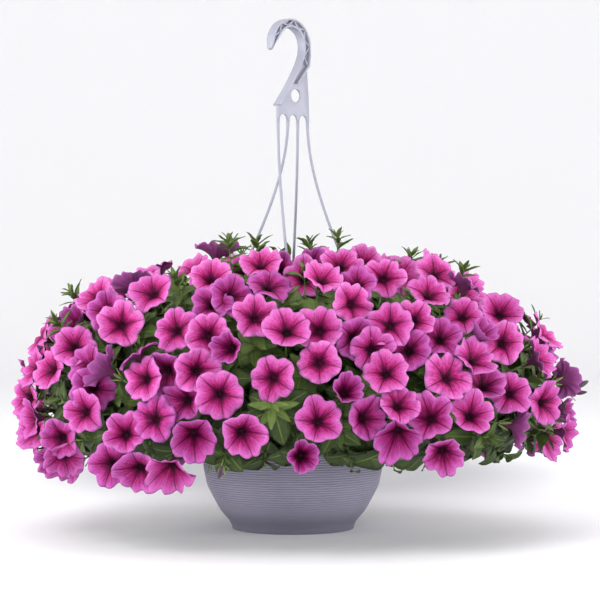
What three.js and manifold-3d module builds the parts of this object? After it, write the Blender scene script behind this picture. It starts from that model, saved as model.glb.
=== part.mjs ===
// Planted hanging basket: a moulded bowl pot with soil, four trailing plants in bloom, and a
// one-piece moulded hanger whose four strands snap into the rim.
// Millimetres, +Z up, origin on the ground at the centre of the foot. -Y is the front.
import * as THREE from 'three';
import Module from 'manifold-3d';
import { mergeVertices } from 'three/addons/utils/BufferGeometryUtils.js';

// ---- driving dimensions ----
const RIM_R = 129;                 // outer radius of the rim, a ten-inch bowl
const RIM_Z = 146;                 // top of the rim ledge
const WALL = 2.4;                  // pot wall
const FOOT_R = 81.7;               // outer radius of the foot ring
const FOOT_H = 8;                  // height of the foot ring
const SOIL_Z = 124;                // soil surface, leaving headspace for water
const HANGER_TURN = 45;            // the hanger's plane, in degrees from +X
const CLIP_TURN = 3;               // the rim slots, in degrees past the axes
const CLIP_R = 124.5;              // radius of the rim slots
const HOOK_TOP = 683;              // overall height
const PLATE_Z = 548;               // where the strands leave the plate
const STRAND_R = 1.9;              // strand radius
const STRAND_U = [-28, -9.5, 9, 27.5]; // strand roots along the plate
const CANOPY_R = 345;              // foliage radius, without the flowers
const CANOPY_Z = 150;              // height of the widest foliage
const CANOPY_UP = 200;             // rise of the foliage above that
const CANOPY_DOWN = 78;            // drop of the foliage below that
const CANOPY_POWER = 2.4;          // roundness of the foliage's profile
const FOLIAGE_DEPTH = 30;          // thickness of the leafy layer
const STRAND_GAP = 12;             // room for each strand between the plants
const FLOWER_R = 29;               // radius of an open flower
const GAP = 0.4;                   // gap between pieces that touch

const FULL_TURN = Math.PI * 2;
const RAD = Math.PI / 180;

// ---- materials ----
const material = (color, roughness) => new THREE.MeshStandardMaterial({ color, roughness, metalness: 0 });
const potPlastic = material(0x8a86a0, 0.6);
const hangerPlastic = material(0xc9c8dc, 0.45);
const soilMix = material(0x33261c, 0.95);
const rootMix = material(0x5a4632, 0.95);
const stemGreen = material(0x5f7f3a, 0.7);
const leafGreen = material(0x3f6b2a, 0.65);
const petalPink = material(0xc93f96, 0.55);

// ---- joining and cutting ----
const wasm = await Module();
wasm.setup();

function toSolid(geometry) {
  const bare = geometry.index ? geometry.toNonIndexed() : geometry.clone();
  bare.deleteAttribute('normal');
  bare.deleteAttribute('uv');
  const merged = mergeVertices(bare, 1e-3);
  return new wasm.Manifold(new wasm.Mesh({
    numProp: 3,
    vertProperties: Float32Array.from(merged.attributes.position.array),
    triVerts: Uint32Array.from(merged.index.array),
  }));
}

function toGeometry(solid) {
  const mesh = solid.getMesh();
  const geometry = new THREE.BufferGeometry();
  geometry.setAttribute('position', new THREE.BufferAttribute(Float32Array.from(mesh.vertProperties), 3));
  geometry.setIndex(new THREE.BufferAttribute(Uint32Array.from(mesh.triVerts), 1));
  geometry.computeVertexNormals();
  return geometry;
}

const join = (geometries) => toGeometry(geometries.map(toSolid).reduce((all, next) => all.add(next)));
const cut = (body, tools) => toGeometry(
  tools.map(toSolid).reduce((left, tool) => left.subtract(tool), toSolid(body)));
const keep = (body, tool) => toGeometry(toSolid(body).intersect(toSolid(tool)));

// ---- helpers ----
const group = new THREE.Group();

function piece(name, geometry, finish, parent = group) {
  const mesh = new THREE.Mesh(geometry, finish);
  mesh.name = name;
  parent.add(mesh);
  return mesh;
}

const polar = (radius, degrees, z = 0) => new THREE.Vector3(
  radius * Math.cos(degrees * RAD), radius * Math.sin(degrees * RAD), z);

// A solid of revolution about Z from a closed list of [radius, height] corners.
function lathe(corners, segments) {
  const points = corners.map(([radius, height]) => new THREE.Vector2(radius, height));
  return new THREE.LatheGeometry(points, segments).rotateX(Math.PI / 2);
}

function box(width, depth, height, place, turn = 0) {
  return new THREE.BoxGeometry(width, depth, height)
    .rotateZ(turn * RAD).translate(place.x, place.y, place.z);
}

const ring = (radius, sides) => Array.from({ length: sides }, (_, i) => new THREE.Vector2(
  radius * Math.cos((FULL_TURN * i) / sides), radius * Math.sin((FULL_TURN * i) / sides)));

function tube(points, radius, sides, steps) {
  const path = new THREE.CatmullRomCurve3(points);
  return new THREE.ExtrudeGeometry(new THREE.Shape(ring(radius, sides)), { extrudePath: path, steps });
}

// ---- pot ----
const POT_SIDES = 40;
const FLOOR_Z = 6;                 // underside of the pot's floor, inside the foot ring
const LEDGE = 3;                   // thickness of the rim ledge
const LIP_DROP = 14;               // how far the rim's lip hangs
const slotTurns = [0, 1, 2, 3].map((quarter) => quarter * 90 - 90 + CLIP_TURN);

// Outer side of the bowl, from the foot ring to below the lip.
const bowlSide = [[82.8, FOOT_H], [88.7, 14.5], [97.7, 25], [106.7, 41], [115.6, 58], [121, 85]];
const bowlTop = [121.6, RIM_Z - LEDGE];

function makePot() {
  const inside = bowlSide.slice(1).map(([radius, height]) => [radius - WALL, height + WALL / 2]).reverse();
  const shell = lathe([
    [0, FLOOR_Z], [FOOT_R - 7, FLOOR_Z], [FOOT_R - 6, 0], [FOOT_R, 0],
    ...bowlSide, bowlTop,
    [RIM_R - WALL, RIM_Z - LEDGE], [RIM_R - WALL, RIM_Z - LIP_DROP], [RIM_R, RIM_Z - LIP_DROP],
    [RIM_R, RIM_Z], [bowlTop[0] - WALL, RIM_Z],
    ...inside, [FOOT_R - 4, FLOOR_Z + WALL], [0, FLOOR_Z + WALL],
  ], POT_SIDES);
  const slots = slotTurns.map((turn) => box(3.4, 8, 3 * LEDGE, polar(CLIP_R, turn, RIM_Z), turn));
  const DRAIN_HOLES = 6;
  const drains = Array.from({ length: DRAIN_HOLES }, (_, i) => {
    const at = polar(48, (i * 360) / DRAIN_HOLES);
    return new THREE.CylinderGeometry(5, 5, 20, 12).rotateX(Math.PI / 2).translate(at.x, at.y, FLOOR_Z);
  });
  return cut(shell, [...slots, ...drains]);
}
piece('pot', makePot(), potPlastic);

// ---- soil and root plugs ----
const PLANT_TURNS = slotTurns.map((turn) => turn + 45); // one plant between each two strands
const PLUG_PLACE_R = 62;
const PLUG = { top: 24, bottom: 19, depth: 58 };

// A tapered plug with its top at the soil surface. The pocket for it is wider, and open upward.
function plugShape(turn, clearance = 0, above = 0) {
  const height = PLUG.depth + clearance + above;
  const at = polar(PLUG_PLACE_R, turn, SOIL_Z + above - height / 2);
  return new THREE.CylinderGeometry(PLUG.top + clearance, PLUG.bottom + clearance, height, 16)
    .rotateX(Math.PI / 2).translate(at.x, at.y, at.z);
}

function makeSoil() {
  const inside = bowlSide.slice(1).map(([radius, height]) => [radius - WALL - GAP, height + WALL / 2]);
  const fill = lathe([
    [0, FLOOR_Z + WALL + GAP], [FOOT_R - 6, FLOOR_Z + WALL + GAP],
    ...inside, [118.7, SOIL_Z - 2], [112, SOIL_Z], [0, SOIL_Z + 1],
  ], POT_SIDES);
  return cut(fill, PLANT_TURNS.map((turn) => plugShape(turn, 2 * GAP, 6)));
}
piece('potting_soil', makeSoil(), soilMix);

PLANT_TURNS.forEach((turn, i) => piece(`root_plug_${i + 1}`, plugShape(turn), rootMix));

// ---- hanger: hook and plate ----
// Drawn as (along, up) in the hanger's own plane, then stood up and turned.
const HOOK = { along: -8, outer: 35, inner: 25 };
const HOOK_Z = HOOK_TOP - HOOK.outer;   // height of the hook's centre
const HANGER_DEPTH = 14;                // flange depth, front to back
const WEB = 3.2;                        // web thickness
const FLANGE = 2.2;                     // flange thickness
const PLATE_HOLE = { along: 4, up: 581, radius: 9.2 };

const around = (radius, degrees) => new THREE.Vector2(
  HOOK.along + radius * Math.cos(degrees * RAD), HOOK_Z + radius * Math.sin(degrees * RAD));
const sweep = (radius, from, to, steps) => Array.from(
  { length: steps + 1 }, (_, i) => around(radius, from + ((to - from) * i) / steps));
const bend = (points, steps) => new THREE.SplineCurve(
  points.map(([along, up]) => new THREE.Vector2(along, up))).getPoints(steps);

// Under the hook the inner edge slants across to the plate's near corner.
const slant = bend([[17, 648], [15.5, 636], [7, 618], [-10, 592], [-30, 566]], 9);
const tipInner = new THREE.Vector2(-41.5, 639);
const tipOuter = new THREE.Vector2(-44.5, 640.5);
const innerEdge = [tipInner, ...sweep(HOOK.inner, 150, 0, 12), ...slant.slice(1)];
const outerArc = [tipOuter, ...sweep(HOOK.outer - FLANGE / 2, 180, 0, 16), new THREE.Vector2(26.5, 636)];
const plateEdge = bend([[24.5, 622], [26, 606], [28.4, 580], [29.6, PLATE_Z]], 3);
const trussFoot = [new THREE.Vector2(24.5, 622), new THREE.Vector2(3, 597)];

// The plate's lower edge is three arches between the four strand roots.
function archedEdge() {
  const points = [];
  for (let i = STRAND_U.length - 1; i > 0; i -= 1) {
    const from = STRAND_U[i] - STRAND_R;
    const to = STRAND_U[i - 1] + STRAND_R;
    const middle = (from + to) / 2;
    const half = (from - to) / 2;
    for (let step = 0; step <= 6; step += 1) {
      const angle = (Math.PI * step) / 6;
      points.push(new THREE.Vector2(middle + half * Math.cos(angle), PLATE_Z + half * Math.sin(angle)));
    }
  }
  return points;
}

// A band of even thickness along a line, drawn as a closed outline.
function band(line, thickness) {
  const side = (sign) => line.map((point, i) => {
    const before = line[Math.max(i - 1, 0)];
    const after = line[Math.min(i + 1, line.length - 1)];
    const across = new THREE.Vector2().subVectors(after, before).normalize();
    return new THREE.Vector2(
      point.x - (across.y * sign * thickness) / 2, point.y + (across.x * sign * thickness) / 2);
  });
  return new THREE.Shape([...side(1), ...side(-1).reverse()]);
}

// Stands an outline up in the hanger's plane, centred front to back.
function upright(shape, depth) {
  return new THREE.ExtrudeGeometry(shape, { depth, bevelEnabled: false, curveSegments: 10 })
    .translate(0, 0, -depth / 2).rotateX(Math.PI / 2).rotateZ(HANGER_TURN * RAD);
}

function makeHook() {
  const plate = new THREE.Shape([
    ...outerArc, ...plateEdge, ...archedEdge(), new THREE.Vector2(-29.9, PLATE_Z),
    ...innerEdge.slice().reverse(),
  ]);
  plate.holes.push(new THREE.Path(ring(PLATE_HOLE.radius, 20).map(
    (point) => point.add(new THREE.Vector2(PLATE_HOLE.along, PLATE_HOLE.up)))));

  // Zigzag ribs between the flanges, round the hook and down its neck.
  const zigzag = [];
  for (let step = 0; step <= 8; step += 1) {
    zigzag.push(around(step % 2 ? HOOK.inner + 1 : HOOK.outer - 1, 165 - (165 * step) / 8));
  }
  zigzag.push(new THREE.Vector2(16, 634), new THREE.Vector2(23, 623));
  const ribs = zigzag.slice(1).map((end, i) => upright(band([zigzag[i], end], 1.8), HANGER_DEPTH - 3));
  return join([
    upright(plate, WEB),
    upright(band(innerEdge, FLANGE), HANGER_DEPTH),
    upright(band([...outerArc, ...trussFoot], FLANGE), HANGER_DEPTH),
    ...ribs,
  ]);
}
piece('hanger_hook', makeHook(), hangerPlastic);

// ---- hanger: strands and the ends that snap into the rim ----
// Each strand leaves the plate straight down and meets the rim straight down, in one S.
const STRAND_FOOT_Z = RIM_Z + 4;
const STRANDS = ['front', 'left', 'back', 'right'];
const STRAND_SLOT = [0, 3, 2, 1];       // which rim slot each strand drops to

function strandPath(index) {
  const top = polar(STRAND_U[index], HANGER_TURN, PLATE_Z - GAP);
  const foot = polar(CLIP_R, slotTurns[STRAND_SLOT[index]], STRAND_FOOT_Z + GAP);
  const STEPS = 12;
  return Array.from({ length: STEPS + 1 }, (_, i) => {
    const part = i / STEPS;
    const along = THREE.MathUtils.smoothstep(part, 0, 1);
    return new THREE.Vector3(
      THREE.MathUtils.lerp(top.x, foot.x, along),
      THREE.MathUtils.lerp(top.y, foot.y, along),
      THREE.MathUtils.lerp(top.z, foot.z, part));
  });
}

function makeClip(turn) {
  const at = (up) => polar(CLIP_R, turn, up);
  return join([
    box(5, 12, 2.4, at(STRAND_FOOT_Z - GAP - 1.2), turn),
    box(2.4, 6.6, 8, at(RIM_Z), turn),
    box(3, 9.6, 3, at(RIM_Z - LEDGE - GAP - 1.5), turn),
  ]);
}

STRANDS.forEach((side, i) => {
  piece(`hanger_strand_${side}`, tube(strandPath(i), STRAND_R, 8, 24), hangerPlastic);
  piece(`hanger_clip_${side}`, makeClip(slotTurns[STRAND_SLOT[i]]), hangerPlastic);
});

// ---- the foliage's surface ----
// A rounded dome above its widest ring and a shallow skirt below it. The slope runs from 0
// degrees at the widest ring to 90 at the top, and is negative on the skirt.
const bulge = (value) => Math.abs(value) ** (2 / CANOPY_POWER);

function canopyPoint(slope, shrink = 0) {
  const rise = slope < 0 ? -(CANOPY_DOWN - shrink) : CANOPY_UP - shrink;
  return [
    (CANOPY_R - shrink) * bulge(Math.cos(slope * RAD)),
    CANOPY_Z + rise * bulge(Math.sin(slope * RAD)),
  ];
}

// How far the surface's outward direction is tipped up from level, in radians.
function canopyTilt(slope) {
  const [radius, height] = canopyPoint(slope);
  const rise = slope < 0 ? -CANOPY_DOWN : CANOPY_UP;
  const outward = (radius / CANOPY_R) ** (CANOPY_POWER - 1) / CANOPY_R;
  const upward = ((height - CANOPY_Z) / rise) ** (CANOPY_POWER - 1) / rise;
  return Math.atan2(upward, outward);
}

// ---- plants: main stems ----
// Stems rise from each root plug and fan out to just under the leafy layer.

function makeStems(turn) {
  const crown = polar(PLUG_PLACE_R, turn);
  const stems = [-30, -14, 2, 17, 31].map((fan, i) => {
    const [reach, height] = canopyPoint(i % 2 ? 66 : 38, FOLIAGE_DEPTH + 6);
    const end = polar(reach, turn + fan, height);
    const start = new THREE.Vector3(crown.x, crown.y, SOIL_Z + GAP + 3);
    const knee = new THREE.Vector3(crown.x, crown.y, SOIL_Z + 30).lerp(
      new THREE.Vector3(end.x, end.y, SOIL_Z + 60), 0.25);
    const rise = knee.clone().lerp(end, 0.55).add(new THREE.Vector3(0, 0, 12));
    return tube([start, knee, rise, end], 3, 6, 5);
  });
  const collar = new THREE.CylinderGeometry(9, 11, 12, 12)
    .rotateX(Math.PI / 2).translate(crown.x, crown.y, SOIL_Z + GAP + 6);
  return join([collar, ...stems]);
}

// ---- plants: foliage ----
// One closed shell, cut into four plants, with room for the strands between them.
const CANOPY_SIDES = 36;

function foliageShell() {
  const outside = [88, 78, 68, 58, 48, 37, 25, 12, 0, -18, -32, -47, -62];
  const inside = [0, 12, 25, 37, 48, 60, 72, 88];
  const NECK_R = 128;              // where the foliage closes in on the bowl
  const NECK_Z = 84;
  const outline = [
    ...outside.map((slope) => canopyPoint(slope)),
    [NECK_R, NECK_Z], [NECK_R, NECK_Z + FOLIAGE_DEPTH / 2], [255, 104],
    ...inside.map((slope) => canopyPoint(slope, FOLIAGE_DEPTH)),
  ];
  return lathe([...outline, outline[0]].reverse(), CANOPY_SIDES);
}

// The room that one strand needs among the plants, from the middle out past the rim.
// Each strand starts to one side of the line from the middle to its slot.
function strandRoom(index) {
  const slotTurn = slotTurns[STRAND_SLOT[index]];
  const aside = STRAND_U[index] * Math.sin((HANGER_TURN - slotTurn) * RAD);
  const half = STRAND_GAP / 2;
  const out = CLIP_R + STRAND_GAP;
  return new THREE.ExtrudeGeometry(new THREE.Shape([
    new THREE.Vector2(0, Math.min(aside, 0) - half), new THREE.Vector2(out, -half),
    new THREE.Vector2(out, half), new THREE.Vector2(0, Math.max(aside, 0) + half),
  ]), { depth: HOOK_TOP, bevelEnabled: false }).rotateZ(slotTurn * RAD);
}

function makeFoliage(shell, turn) {
  const REACH = 500;
  const corner = new THREE.BoxGeometry(REACH, REACH, 2 * REACH);
  const side = (REACH + GAP) / 2;
  corner.translate(side, side, 0).rotateZ((turn - 45) * RAD);
  return cut(keep(shell, corner), STRANDS.map((_, i) => strandRoom(i)));
}

const shell = foliageShell();
PLANT_TURNS.forEach((turn, i) => {
  piece(`main_stems_${i + 1}`, makeStems(turn), stemGreen);
  piece(`foliage_${i + 1}`, makeFoliage(shell, turn), leafGreen);
});

// ---- plants: flowers ----
// A five-lobed open trumpet, facing +Z, with its tube's end at the origin.
function makeFlower() {
  const TUBE = 26;
  const LOBES = 5;
  const profile = [[0, 0], [3.5, 0], [8, TUBE - 9], [FLOWER_R, TUBE - 1], [FLOWER_R, TUBE + 1], [0, TUBE - 7]];
  const trumpet = lathe(profile, 2 * LOBES);
  const spots = trumpet.attributes.position;
  for (let i = 0; i < spots.count; i += 1) {
    const spread = 1 + 0.05 * Math.cos(LOBES * Math.atan2(spots.getY(i), spots.getX(i)));
    spots.setXY(i, spots.getX(i) * spread, spots.getY(i) * spread);
  }
  return trumpet;
}

// Rows of flowers round the plants: where each row lies on the foliage, and its spacing.
const FLOWER_ROWS = [
  { row: 'crown', slope: 62, count: 6, first: -70 },
  { row: 'shoulder', slope: 36, count: 8, first: -95 },
  { row: 'side', slope: 10, count: 8, first: -90 },
  { row: 'skirt', slope: -24, count: 6, first: -110 },
];

const LOWEST_TILT = -20;           // flowers under the foliage still turn to the light
const STANDOFF = 3;                // keeps a tipped tube's end off the foliage

for (const { row, slope, count, first } of FLOWER_ROWS) {
  for (let i = 0; i < count; i += 1) {
    const [radius, height] = canopyPoint(slope);
    const arm = new THREE.Group();
    arm.rotation.z = (first + (i * 360) / count) * RAD;
    group.add(arm);
    const flower = piece(`flower_${row}_${i + 1}`, makeFlower(), petalPink, arm);
    const tilt = Math.max(canopyTilt(slope), LOWEST_TILT * RAD);
    flower.position.set(radius + STANDOFF * Math.cos(tilt), 0, height + STANDOFF * Math.sin(tilt));
    flower.rotation.y = Math.PI / 2 - tilt;
  }
}

export default group;
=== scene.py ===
"""A planted hanging basket: the looks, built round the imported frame.

Metres, +Z up, -Y the front. The pot, hanger, soil, flowers and foliage are made in that order, so that
the leaves can keep clear of the flowers.
"""

import math
import random

import bmesh
import bpy
import numpy as np
from mathutils import Matrix, Vector
from mathutils.geometry import interpolate_bezier


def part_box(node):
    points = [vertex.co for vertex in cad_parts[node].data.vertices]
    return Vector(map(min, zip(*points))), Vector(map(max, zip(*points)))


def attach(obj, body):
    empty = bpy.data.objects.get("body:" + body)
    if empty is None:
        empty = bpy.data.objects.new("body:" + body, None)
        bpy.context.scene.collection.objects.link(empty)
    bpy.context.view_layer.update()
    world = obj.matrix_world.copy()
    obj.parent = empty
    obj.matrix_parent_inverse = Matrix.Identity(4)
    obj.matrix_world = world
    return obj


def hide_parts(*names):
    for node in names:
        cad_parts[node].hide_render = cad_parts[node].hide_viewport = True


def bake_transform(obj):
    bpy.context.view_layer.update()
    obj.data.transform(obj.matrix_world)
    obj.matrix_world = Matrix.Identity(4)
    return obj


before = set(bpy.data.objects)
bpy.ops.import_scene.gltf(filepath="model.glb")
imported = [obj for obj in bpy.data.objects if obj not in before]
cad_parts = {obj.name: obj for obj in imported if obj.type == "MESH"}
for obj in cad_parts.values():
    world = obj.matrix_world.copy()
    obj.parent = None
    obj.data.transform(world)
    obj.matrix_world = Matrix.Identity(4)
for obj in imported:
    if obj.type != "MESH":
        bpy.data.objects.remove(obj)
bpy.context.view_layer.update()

MM = 0.001
CM = 0.01
FULL_TURN = 2 * math.pi
GOLDEN_ANGLE = math.pi * (3 - math.sqrt(5))
SIDES = ("front", "left", "back", "right")
PLANTS = (1, 2, 3, 4)
rng = random.Random(7)


# ---- places read from the frame ----

def union_box(names):
    """The low and high corners of the box round several CAD nodes."""
    boxes = [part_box(name) for name in names]
    low = Vector(min(b[0][axis] for b in boxes) for axis in range(3))
    high = Vector(max(b[1][axis] for b in boxes) for axis in range(3))
    return low, high


def middle(name):
    """The middle of a CAD node's box."""
    low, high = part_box(name)
    return (Vector(low) + Vector(high)) / 2


POT_HIGH = Vector(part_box("pot")[1])
RIM_R = POT_HIGH.x
RIM_Z = POT_HIGH.z
LEAFY_LOW, LEAFY_HIGH = union_box([f"foliage_{plant}" for plant in PLANTS])
CANOPY_R = (LEAFY_HIGH.x - LEAFY_LOW.x) / 2
CANOPY_Z = RIM_Z + 4 * MM          # height of the widest foliage
CANOPY_UP = LEAFY_HIGH.z - CANOPY_Z
CANOPY_DOWN = 78 * MM              # how far it hangs below its widest ring
CANOPY_POWER = 2.4                 # roundness of the foliage's profile
HOOK_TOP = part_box("hanger_hook")[1][2]
HANGER_TURN = math.radians(45)     # the hanger's plane, from +X
SOIL_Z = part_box("root_plug_1")[1][2]


# ---- the foliage's surface ----

def bulge(value):
    """A cosine or sine, swollen so that the foliage's profile is rounder than an ellipse."""
    return abs(value) ** (2 / CANOPY_POWER)


def canopy_point(slope, turn, grow=0.0):
    """A point on the foliage. slope is 0 at the widest ring and 90 at the top; both are in degrees."""
    tilt = math.radians(slope)
    rise = CANOPY_UP + grow if slope > 0 else -(CANOPY_DOWN + grow)
    radius = (CANOPY_R + grow) * bulge(math.cos(tilt))
    around = math.radians(turn)
    return Vector((radius * math.cos(around), radius * math.sin(around),
                   CANOPY_Z + rise * bulge(math.sin(tilt))))


def canopy_level(point, grow=0.0):
    """Below 1 inside the foliage, 1 on its surface."""
    rise = point.z - CANOPY_Z
    height = CANOPY_UP if rise > 0 else CANOPY_DOWN
    radius = math.hypot(point.x, point.y)
    return ((radius / (CANOPY_R + grow)) ** CANOPY_POWER
            + (abs(rise) / (height + grow)) ** CANOPY_POWER)


def canopy_normal(point):
    """The outward direction of the foliage's surface nearest a point."""
    rise = point.z - CANOPY_Z
    height = CANOPY_UP if rise > 0 else CANOPY_DOWN
    radius = max(math.hypot(point.x, point.y), MM)
    outward = (radius / CANOPY_R) ** (CANOPY_POWER - 1) / CANOPY_R
    upward = math.copysign((abs(rise) / height) ** (CANOPY_POWER - 1) / height, rise)
    return Vector((outward * point.x / radius, outward * point.y / radius, upward)).normalized()


def spread_over_canopy(count, lowest, highest, grow=0.0):
    """Evenly spread points over the foliage between two slopes, in a golden-angle spiral."""
    golden = 180 * (3 - math.sqrt(5))
    slopes = np.linspace(lowest, highest, 400)
    ring = [canopy_point(slope, 0, grow) for slope in slopes]
    area = [0.0]
    for before, after in zip(ring, ring[1:]):
        area.append(area[-1] + (after - before).length * (before.x + after.x))
    wanted = (np.arange(count) + 0.5) / count * area[-1]
    return [canopy_point(float(np.interp(share, area, slopes)), index * golden, grow)
            for index, share in enumerate(wanted)]


# ---- room for the strands ----

def strand_line(side):
    """Where a strand starts and ends, seen from above."""
    vertices = [v.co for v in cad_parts[f"hanger_strand_{side}"].data.vertices]
    top = max(v.z for v in vertices)
    foot = min(v.z for v in vertices)
    ends = []
    for level in (top, foot):
        near = [v for v in vertices if abs(v.z - level) < MM]
        ends.append(sum(near, Vector()) / len(near))
    return ends


STRAND_LINES = {side: strand_line(side) for side in SIDES}
STRAND_WAY_FLOOR = RIM_Z - 10 * MM   # strands pass above this height only
STEM_CLEARANCE = 3 * MM              # from a strand's line to a stem or flower
LEAF_CLEARANCE = 3.4 * MM            # and to a leaf


def in_strand_way(points, clearance):
    """True if any of the points is where a strand runs, at rest or as the hanger lifts off."""
    points = np.asarray(points)
    for top, foot in STRAND_LINES.values():
        start, along = np.array(top[:2]), np.array(foot[:2]) - np.array(top[:2])
        share = np.clip((points[:, :2] - start) @ along / (along @ along), 0, 1)
        apart = np.linalg.norm(points[:, :2] - start - share[:, None] * along, axis=1)
        if ((apart < clearance) & (points[:, 2] > STRAND_WAY_FLOOR)).any():
            return True
    return False


# ---- mesh building ----

NO_LOOK = (0, 0, 0, 0)


class Pile:
    """Lofts gathered into one mesh, with a four-number "look" at each point for the material."""

    def __init__(self):
        self.points = []
        self.looks = []
        self.faces = []
        self.slots = []
        self.count = 0

    def add(self, rings, look=NO_LOOK, slot=0, closed=True):
        """rings is rows x around x 3 and look rows x around x 4. closed=False leaves the last ring open."""
        rows, around = rings.shape[:2]
        row = np.arange(rows - 1)[:, None] * around + self.count
        here = np.arange(around)[None, :]
        after = (here + 1) % around
        quads = np.stack([row + here, row + around + here, row + around + after, row + after], -1)
        first = list(range(self.count, self.count + around))
        last = list(range(self.count + (rows - 1) * around, self.count + rows * around))
        faces = quads.reshape(-1, 4).tolist() + ([first, last[::-1]] if closed else [first])
        self.points.append(rings.reshape(-1, 3))
        self.looks.append(np.broadcast_to(look, (rows, around, 4)).reshape(-1, 4))
        self.faces.extend(faces)
        self.slots.extend([slot] * len(faces))
        self.count += rows * around

    def build(self, name, materials):
        mesh = bpy.data.meshes.new(name)
        mesh.from_pydata(np.concatenate(self.points).tolist(), [], self.faces)
        mesh.attributes.new("look", "FLOAT_COLOR", "POINT").data.foreach_set(
            "color", np.concatenate(self.looks).astype(np.float32).ravel())
        for material in materials:
            mesh.materials.append(material)
        mesh.polygons.foreach_set("material_index", self.slots)
        mesh.polygons.foreach_set("use_smooth", [True] * len(self.faces))
        shells = bmesh.new()
        shells.from_mesh(mesh)
        bmesh.ops.recalc_face_normals(shells, faces=shells.faces)
        shells.to_mesh(mesh)
        shells.free()
        return add_object(name, mesh)


def add_object(name, data):
    made = bpy.data.objects.new(name, data)
    bpy.context.scene.collection.objects.link(made)
    return made


def frame_towards(direction, roll=0.0):
    """A 3x3 array whose columns are two cross directions and direction itself."""
    ahead = Vector(direction).normalized()
    turned = ahead.to_track_quat("Z", "Y").to_matrix() @ Matrix.Rotation(roll, 3, "Z")
    return np.array(turned)


def sideways(axes, turn):
    """The direction at a turn round the third of the axes."""
    return axes[:, 0] * math.cos(turn) + axes[:, 1] * math.sin(turn)


def look_of(rings, *numbers):
    """The look of every point of the rings, from up to four numbers, columns or rows of numbers."""
    look = np.zeros((*rings.shape[:2], 4))
    for index, number in enumerate(numbers):
        look[..., index] = number
    return look


def lathe_rings(outline, around):
    """Rings round the Z axis from an outline of (radius, height)."""
    turn = np.arange(around) * FULL_TURN / around
    return np.array([
        np.stack([radius * np.cos(turn), radius * np.sin(turn), np.full_like(turn, height)], -1)
        for radius, height in outline])


def tube_rings(path, radii, around):
    """Rings of a round tube along a path."""
    path = [Vector(p) for p in path]
    turn = np.arange(around) * FULL_TURN / around
    rings = []
    for index, (point, radius) in enumerate(zip(path, radii)):
        ahead = path[min(index + 1, len(path) - 1)] - path[max(index - 1, 0)]
        axes = frame_towards(ahead)
        circle = np.outer(np.cos(turn), axes[:, 0]) + np.outer(np.sin(turn), axes[:, 1])
        rings.append(np.array(point) + radius * circle)
    return np.array(rings)


# ---- the pot's foot and its fine grooves ----

FOOT_H = 8 * MM
REED_PITCH = 3.1 * MM
REED_DEPTH = 0.7 * MM
REEDS_START = 16 * MM              # the grooves fade in between these two heights
REEDS_FULL = 50 * MM


# ---- materials ----

class Output:
    """What a node of a material gives. Plain arithmetic on it adds the nodes for that."""

    def __init__(self, surface, socket):
        self.surface = surface
        self.socket = socket

    def __add__(self, other):
        return self.surface.math("ADD", self, other)

    def __sub__(self, other):
        return self.surface.math("SUBTRACT", self, other)

    def __rsub__(self, other):
        return self.surface.math("SUBTRACT", other, self)

    def __mul__(self, other):
        return self.surface.math("MULTIPLY", self, other)

    def __truediv__(self, other):
        return self.surface.math("DIVIDE", self, other)

    def __pow__(self, other):
        return self.surface.math("POWER", self, other)

    def __abs__(self):
        return self.surface.math("ABSOLUTE", self)


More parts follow.
